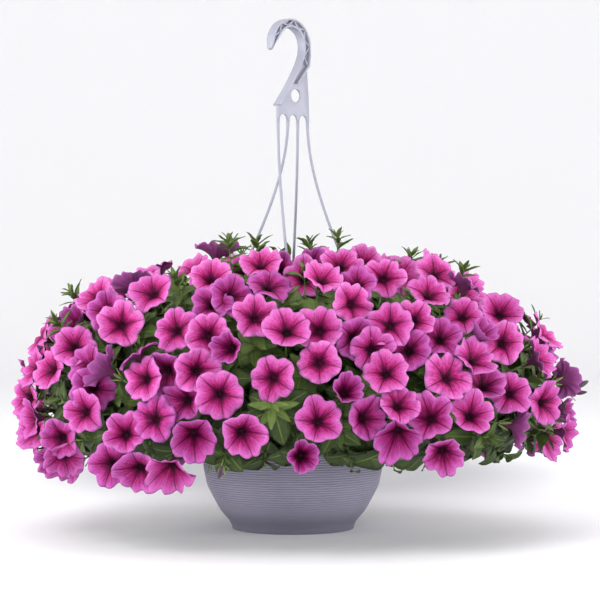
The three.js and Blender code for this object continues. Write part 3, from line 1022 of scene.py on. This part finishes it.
def make_inner_foliage():
    """Large leaves, darkened with painted shade, on the short side stems inside, two layers deep, as one
    piece for each plant.
    """
    piles = {plant: Pile() for plant in PLANTS}
    tips = [tip for depth, count in INNER_LAYERS
            for tip in spread_over_canopy(count, *INNER_SLOPES, grow=-depth)]
    for side in SIDES:
        clip = middle(f"hanger_clip_{side}").normalized()
        tips += [Vector((clip.x * out, clip.y * out, up)) for out, up in UNDER_STRAND]
    for tip in tips:
        plant = plant_near(tip)
        end, _ = leafy_end(stem_path(plant, tip, canopy_normal(tip)), 62 * MM)
        if not in_strand_way(end, STEM_CLEARANCE):
            piles[plant].add(tube_rings(end, np.linspace(1.5, 0.9, len(end)) * MM, 6), slot=STEM_SLOT)
        # A low tone: painted shade on the leaves inside.
        add_leaves(piles[plant], end, 13, rng.uniform(0, FULL_TURN), 1.0,
                   lambda share: (rng.uniform(34, 50) * MM, 0.34, rng.uniform(0.1, 0.9), 0.1))
    for plant, pile in piles.items():
        inner = pile.build(f"inner_foliage_{plant}", [STEM, LEAF])
        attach(inner, "basket")
        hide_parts(f"foliage_{plant}")


SHOOT_SLOPES = (-58, 87)
TOP_TIPS_OUT = (26 * MM, 58 * MM)   # more tips at the top, between the strands


def make_foliage():
    """Leafy shoots all over the basket, and the four plants' bundles of bare stems under them."""
    stems = {plant: Pile() for plant in PLANTS}
    tips = spread_over_canopy(SHOOTS, *SHOOT_SLOPES, grow=2 * MM)
    for quarter in range(4):
        turn = math.radians(48 + 90 * quarter)
        tips += [Vector((out * math.cos(turn), out * math.sin(turn), CANOPY_Z + CANOPY_UP - 6 * MM))
                 for out in TOP_TIPS_OUT]
    for number, tip in enumerate(tips, 1):
        tip = tip + Vector(rng.uniform(-9, 9) * MM for _ in range(3))
        outward = canopy_normal(tip)
        rosette = tip.z > RIM_Z + 20 * MM and rng.random() < ROSETTE_SHARE
        tip = tip + outward * (rng.uniform(20, 38) if rosette else rng.uniform(0, 16)) * MM
        tip.z = max(tip.z, LOWEST_LEAF + 12 * MM)
        ahead = (outward + Vector((0, 0, 0.3))).normalized()
        on_side = tip.z > RIM_Z - 40 * MM and outward.z < 0.6
        buds = rng.choice((0, 0, 1, 1, 2)) if on_side else 0
        make_shoot(number, plant_near(tip), tip, ahead, stems, buds, rosette)
    for plant, pile in stems.items():
        bundle = pile.build(f"stems_{plant}", [STEM])
        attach(bundle, "basket")
        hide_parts(f"main_stems_{plant}")


# ---- flowers ----

LOBES = 5
PETAL_AROUND = 60
PETAL_THICK = 0.45 * MM
THROAT_R = 4.2 * MM
THROAT_Z = 17 * MM                 # the throat's height above the flower's base
FLARE_H = 10 * MM                  # from the throat to the edge
TUBE_LENGTH = 27 * MM              # from the base to the edge
TUBE_R = 8 * MM                    # kept free of other flowers and leaves round the tube
TUBE_LOW = 3 * MM
TUBE_HIGH = 30 * MM
STALK_LENGTH = 34 * MM
FLOWER_R = 28 * MM
FIRST_LAYER = 28 * MM              # how far out from the foliage's surface a flower is, if there is room
PETAL_SLOT, GREEN_SLOT = 0, 1


class Petals:
    """The shape of one flower's open face, which differs a little from flower to flower."""

    def __init__(self, radius, cup):
        self.radius = radius
        self.cup = cup
        self.turn = np.arange(PETAL_AROUND) * FULL_TURN / PETAL_AROUND
        lobe = FULL_TURN / LOBES
        number = np.floor(self.turn / lobe + 0.5).astype(int) % LOBES
        self.from_midline = np.abs((self.turn + lobe / 2) % lobe - lobe / 2) / (lobe / 2)
        inside = 0.5 + 0.5 * np.cos(math.pi * self.from_midline)
        sizes = np.array([rng.uniform(-0.07, 0.06) for _ in range(LOBES)])
        lifts = np.array([rng.uniform(-0.26, 0.20) for _ in range(LOBES)])
        notch = np.exp(-((1 - self.from_midline) / 0.33) ** 2)
        self.reach = 1 - rng.uniform(0.11, 0.21) * notch + inside * sizes[number] + self.ripple(12, 0.012)
        self.sway = inside * lifts[number] + self.ripple(1, 0.06) + self.ripple(2, 0.09)
        self.frill = self.ripple(10, 0.036) + self.ripple(15, 0.036)

    def ripple(self, waves, size):
        """Waves round the face, turned at random."""
        return size * np.sin(self.turn * waves + rng.uniform(0, FULL_TURN))

    def profile(self, share):
        """Height of the plain face at a share of the way from the throat to the edge."""
        return THROAT_Z + FLARE_H * (1 - (1 - share) ** 2.4) + self.radius * self.cup * share ** 1.6

    def row(self, share, lift=0.0):
        """The ring of points at that share."""
        apart = self.from_midline
        radius = THROAT_R + (self.radius * self.reach - THROAT_R) * share
        crease = -0.075 * np.exp(-(apart / 0.16) ** 2) * share
        pleat = -0.095 * np.exp(-((1 - apart) / 0.24) ** 2) * share ** 1.4
        belly = 0.07 * np.sin(math.pi * apart) * share
        relief = crease + pleat + belly + self.sway * share ** 2 + self.frill * share ** 3
        return self.ring(radius, self.profile(share) + lift + self.radius * relief)

    def ring(self, radius, height):
        """A ring of that radius and height, which may differ round it."""
        around = (radius * np.cos(self.turn), radius * np.sin(self.turn))
        return np.stack([*around, height + np.zeros_like(self.turn)], -1)


def flower_rings(petals):
    """A flower's rings and their look: up inside the tube, out over the face, and back down the outside."""
    rows = [(petals.ring(3.2 * MM, 13 * MM), 0.0, 0), (petals.ring(3.7 * MM, 15 * MM), 0.05, 0)]
    rows += [(petals.row(share), 0.10 + 0.90 * share, 0)
             for share in (0, 0.07, 0.16, 0.28, 0.42, 0.57, 0.72, 0.87, 1.0)]
    rows += [(petals.row(share, -PETAL_THICK), 0.10 + 0.90 * share, 1)
             for share in (0.985, 0.85, 0.66, 0.46, 0.26, 0.1)]
    rows += [(petals.ring(THROAT_R + 0.3 * MM, 15.5 * MM), 0.06, 1), (petals.ring(3.0 * MM, 9 * MM), 0.02, 1),
             (petals.ring(2.3 * MM, 3 * MM), 0.0, 1), (petals.ring(1.8 * MM, 0), 0.0, 1)]
    rings, shares, backs = (np.array(column) for column in zip(*rows))
    return rings, look_of(rings, shares[:, None], petals.from_midline, backs[:, None])


class Bloom:
    """One flower in its place."""

    def __init__(self, petals, centre, facing, roll):
        self.petals = petals
        self.axes = frame_towards(facing, roll)
        self.base = np.array(centre) - self.axes[:, 2] * TUBE_LENGTH
        self.centre = np.array(centre)
        face = np.concatenate([petals.row(share) for share in (0.4, 0.6, 0.8, 1.0)])
        tube = np.array([(0, 0, height) for height in np.linspace(-14 * MM, 24 * MM, 11)])
        inward = -np.array(canopy_normal(Vector(self.base)))
        stalk = self.base + inward * np.linspace(4 * MM, STALK_LENGTH, 7)[:, None]
        # The tube and stalk are few points, so they are repeated: a cut through them counts as much.
        self.body = np.concatenate([self.world(np.concatenate([face] + [tube] * 6))] + [stalk] * 4)

    def world(self, points):
        return points @ self.axes.T + self.base

    def local(self, points):
        """The points' places in the flower's own axes, and their distances from its middle line."""
        own = (points - self.base) @ self.axes
        return own, np.hypot(own[:, 0], own[:, 1])

    def over_face(self, points, share=0.95):
        """How far in front of the face each point is, for the points that are within its edge."""
        own, apart = self.local(points)
        along = np.clip((apart - THROAT_R) / (self.petals.radius - THROAT_R), 0, 1)
        return (own[:, 2] - self.petals.profile(along))[apart < share * self.petals.radius]

    def in_tube(self, points):
        """Which of the points are in the flower's tube or close to it."""
        own, apart = self.local(points)
        return (apart < TUBE_R) & (own[:, 2] > TUBE_LOW) & (own[:, 2] < TUBE_HIGH)

    def crossing(self, other):
        """Roughly how much two flowers cut through each other; a cut through a tube weighs more."""
        total = 0
        for one, two in ((self, other), (other, self)):
            over = one.over_face(two.body)
            total += min((over > 0).sum(), (over < 0).sum()) + 12 * one.in_tube(two.body).sum()
        return total

    def build(self, name, tone):
        rings, look = flower_rings(self.petals)
        look[..., 3] = tone
        pile = Pile()
        pile.add(self.world(rings), look, PETAL_SLOT)
        facing = Vector(self.axes[:, 2])
        base = Vector(self.base)
        add_calyx(pile, base, facing, 15 * MM, GREEN_SLOT)
        inward = -canopy_normal(base)
        foot = base + inward * STALK_LENGTH
        bend = 14 * MM
        rows = 8
        stalk = interpolate_bezier(base, base - facing * bend, foot - inward * bend, foot, rows)
        pile.add(tube_rings(stalk, [1.1 * MM] * rows, 7), slot=GREEN_SLOT)
        flower = pile.build(name, [PETAL, STEM])
        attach(flower, "basket")
        return flower


class Flowerbed:
    """All the flowers: each is planted where it cuts least through the ones before it."""

    # Distances out from the foliage's surface, and turns away from the wanted facing, in the order tried.
    LAYERS = (FIRST_LAYER, 20 * MM, 36 * MM, 12 * MM, 43 * MM)
    TILTS = ((0, 0), (0.2, 0), (-0.2, 0), (0, 0.2), (0, -0.2),
             (0.3, 0.3), (-0.3, 0.3), (0.3, -0.3), (-0.3, -0.3))

    def __init__(self):
        self.blooms = []

    def near(self, point, reach):
        return [bloom for bloom in self.blooms if np.linalg.norm(bloom.centre - point) < reach]

    def covers(self, points):
        """True if any point is in a flower's face or tube, or close in front of the face."""
        for bloom in self.near(points.mean(axis=0), 70 * MM):
            over = bloom.over_face(points, 0.9)
            if ((over > -3 * MM) & (over < 26 * MM)).any() or bloom.in_tube(points).any():
                return True
        return False

    def plant(self, name, surface, facing, radius=FLOWER_R, cup=0.0, tone=None, raised=1.0,
              sight=None, most=1000):
        """Makes one flower over a point on the foliage, on the line of sight if there is one.

        raised scales the distances tried, and a flower that would cut others by more than most isn't made.
        """
        petals = Petals(radius * rng.uniform(0.92, 1.06), cup + rng.uniform(-0.14, 0.20))
        roll = rng.uniform(0, FULL_TURN)
        facing = Vector(facing).normalized()
        across, along = (Vector(axis) for axis in frame_towards(facing).T[:2])
        best, least = None, most
        for layer in self.LAYERS:
            at = surface + canopy_normal(surface) * layer * raised
            if sight:
                eye, ahead = sight
                at = eye + ahead * (at - eye).dot(ahead)
            for first, second in self.TILTS:
                bloom = Bloom(petals, at, facing + across * first + along * second, roll)
                too_far_out = np.abs(bloom.body[:, :2]).max() > FURTHEST_FLOWER
                if too_far_out or in_strand_way(bloom.body, STEM_CLEARANCE):
                    continue
                crossing = sum(bloom.crossing(other) for other in self.near(bloom.centre, 80 * MM))
                if crossing < least:
                    best, least = bloom, crossing
        if best is None:
            return None
        self.blooms.append(best)
        if tone is None:
            # Lower flowers are a darker lilac: painted shade, with a random share of the flowers' own varied
            # colour.
            low = min(1.0, max(0.0, (RIM_Z + CANOPY_UP - surface.z) / (CANOPY_UP + 60 * MM)))
            tone = min(1.0, max(0.0, 0.75 * low + rng.uniform(-0.15, 0.25)))
        return best.build(name, tone)


BED = Flowerbed()


def seen_on_canopy(across, up):
    """Where the line of sight to a place meets the foliage, and the line of sight.

    The place is in centimetres, in the plane of the pot's axis that faces the camera.
    """
    eye = CAMERA.location.copy()
    ahead = Vector((across * CM, 0, up * CM)) - eye
    best, lowest = None, math.inf
    steps = 500
    search_from = 0.75             # shares of the way to the plane
    search_over = 0.5
    for step in range(steps):
        point = eye + ahead * (search_from + search_over * step / steps)
        level = canopy_level(point, FIRST_LAYER)
        if level < lowest:
            best, lowest = point, level
        if level < 1:
            break
    return best - canopy_normal(best) * FIRST_LAYER, (eye, ahead.normalized())


def seen_at(point):
    """Where a point is seen, in centimetres in that plane."""
    eye = CAMERA.location
    seen = eye + (point - eye) * (eye.y / (eye.y - point.y))
    return seen.x / CM, seen.z / CM


def looking_out(point):
    """The way a flower faces: between straight out of the foliage and level."""
    flat = Vector((point.x, point.y, 0)).normalized()
    return canopy_normal(point) * 0.55 + (flat + Vector((0, 0, 0.15))) * 0.45 + a_little()


def looking_front(point):
    """The same, turned to the front."""
    return canopy_normal(point) * 0.52 + Vector((0, -1, 0.08)) * 0.48 + a_little()


def a_little():
    return Vector(rng.uniform(-0.26, 0.26) for _ in range(3))


# Where the flowers of the front are seen, as (across, up) in centimetres, in the plane of the pot's axis.
# They were read off the photograph, in its pixels, and scaled; a few were moved afterwards.
OPEN_FRONT = [
    (-26.5, 31.2), (-23.2, 27.4), (-19, 31.8), (-15.9, 26.7), (-11.4, 25.9), (-5, 28.5), (-4.4, 35.7),
    (-11.1, 33.7), (-0.8, 26.7), (-29.5, 24.5), (-12.9, 21.1), (-2.8, 20), (-28.3, 15.6), (-24.6, 8.4),
    (-20.8, 7.6), (-22.6, 12.7), (-31.4, 11.9), (-30.8, 9.3), (-20.2, 20),
    (6.4, 35.4), (4, 33.7), (12.2, 33.7), (19.3, 34.4), (18.4, 31.6), (3.5, 26.7),
    (8.2, 30.1), (16.3, 27.9), (22.8, 28.7), (28.3, 24.9), (27.9, 29), (3.4, 22.3), (12.5, 21),
    (24.5, 22.8), (29.3, 18.2), (3.5, 14.4), (14.3, 16.7), (18.4, 14.9), (24, 15.2), (34, 16.7),
    (9.9, 14.7), (10.7, 23.9),
]
LARGE_FRONT = [(-9.9, 17.8), (-18.8, 14.7), (13.1, 27.4), (20.9, 20.4)]
HALF_OPEN_FRONT = [(-8.6, 24.1), (7.1, 18.3), (25.1, 25.9), (1.2, 9.6)]
SIDEWAYS_FRONT = [
    (-34.2, 25.9), (-35.1, 21.6), (-32.8, 21.4), (-35.2, 14.7), (33.2, 22.8), (34, 26.2), (36.9, 12.7),
]
DROOPING_FRONT = [(-16.5, 7.7), (-13.4, 12.3), (-6.7, 12.6), (14.1, 12.4), (20.2, 9.9)]
TURNED_AWAY_FRONT = [(-21.6, 32.9), (-25.5, 21.4), (-21.3, 23.7), (23.2, 32.9), (36.9, 20), (30.4, 13.5)]
UPRIGHT_FRONT = [(-10.3, 37.1)]
UPRIGHT_MIDDLE = [(-1.2, 37.0)]
BEHIND_FRONT = [
    (-10.9, 30.2), (-8.3, 31.1), (8.5, 25.4), (-17.3, 20.8), (-14.6, 17.2), (15.6, 24), (25.6, 19.4),
    (-26.9, 18.6), (-27.6, 21.6), (19.9, 25.6), (-24.9, 29), (-3.2, 32.8), (8.3, 32.6),
]


# Dips in the photograph's outline, with few flowers: where each is seen, and how far it reaches.
DIPS = [(-16.5, 34.9, 3), (27.2, 30.9, 3), (30.5, 8.8, 4.3)]


def plant_front():
    """The flowers that face the front, each at its own place, as (centre, piece)."""
    number = 0
    planted = []

    def plant(places, facing, deeper=0.0, **shape):
        nonlocal number
        for across, up in places:
            number += 1
            at, sight = seen_on_canopy(across, up)
            at.y += deeper
            flower = BED.plant(f"flower_front_{number:02d}", at, facing(at), sight=sight, **shape)
            if flower:
                planted.append((BED.blooms[-1].centre, flower))

    plant(LARGE_FRONT, looking_front, radius=31 * MM)
    plant(DROOPING_FRONT, lambda at: looking_front(at) + Vector((0, 0, -0.55)), cup=0.45)
    plant(OPEN_FRONT, looking_front)
    plant(HALF_OPEN_FRONT, looking_front, radius=19 * MM, cup=0.75, tone=0.8)
    plant(SIDEWAYS_FRONT, canopy_normal)
    # The turned-away flowers' darker tone is painted shade.
    plant(TURNED_AWAY_FRONT, lambda at: canopy_normal(at) + Vector((0, 0.8, 0)), tone=0.9)
    plant(UPRIGHT_FRONT, lambda at: Vector((0.1, 0.2, 1)), tone=0.9, cup=0.3)
    plant(UPRIGHT_MIDDLE, lambda at: Vector((0.1, 0.2, 1)), deeper=150 * MM, tone=0.9, cup=0.3)
    # The darker tone of the flowers behind is painted shade.
    plant(BEHIND_FRONT, looking_front, tone=0.8, raised=0.15)
    return planted


FRONT_SIDE = -60 * MM              # CAD flowers with a lower Y are seen from the front


def plant_cad_places(front):
    """A flower for each flower of the frame: on the front side, the nearest of the front flowers."""
    for node in sorted(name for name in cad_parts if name.startswith("flower_")):
        vertices = [v.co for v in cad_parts[node].data.vertices]
        centre = sum(vertices, Vector()) / len(vertices)
        if centre.y < FRONT_SIDE:
            _, nearest = min(front, key=lambda planted: np.linalg.norm(planted[0] - np.array(centre)))
            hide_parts(node)
            continue
        surface = centre - canopy_normal(centre) * FIRST_LAYER
        flower = BED.plant(node.replace("flower_", "bloom_"), surface, looking_out(surface))
        if flower:
            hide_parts(node)


REST_TRIES = 420
REST_SLOPES = (-34, 86)
ROOM_FOR_ONE = 46 * MM
FACING_CAMERA = 0.22               # places that face the camera more than this are the front's
EDGE_ON = -0.4                     # and from here up to that they are seen edge on
HALF_OPEN_SHARE = 0.12


def plant_rest():
    """The other flowers, all round and over the top, where the front ones aren't seen."""
    number = 0
    for at in spread_over_canopy(REST_TRIES, *REST_SLOPES):
        at = at + Vector(rng.uniform(-7, 7) * MM for _ in range(3))
        normal = canopy_normal(at)
        towards_camera = (CAMERA.location - at).normalized()
        towards = normal.dot(towards_camera)
        taken = BED.near(np.array(at + normal * FIRST_LAYER), ROOM_FOR_ONE)
        under_front = at.y < -100 * MM and at.z < RIM_Z - 10 * MM
        across, up = seen_at(at)
        in_dip = any(math.hypot(across - x, up - z) < reach for x, z, reach in DIPS)
        if taken or towards > FACING_CAMERA or under_front or in_dip:
            continue
        facing = looking_out(at)
        raised = 1 - 0.7 * max(0.0, normal.z)
        if towards > EDGE_ON:
            # Turned to the camera a little, and kept low for a clean outline.
            facing = facing + towards_camera * 0.55
            raised = raised * 0.35
        number += 1
        half_open = {"radius": 20 * MM, "cup": 0.7, "tone": 0.8}
        shape = half_open if rng.random() < HALF_OPEN_SHARE else {}
        BED.plant(f"flower_round_{number:03d}", at, facing, raised=raised, most=40, **shape)


def make_flowers():
    """The front ones first, because each is planted clear of those before it."""
    plant_cad_places(plant_front())
    plant_rest()


make_pot()
make_hanger()
make_soil()
make_flowers()
make_foliage()
make_inner_foliage()


def numbers(corners):
    return [[float(value) for value in corner] for corner in corners]
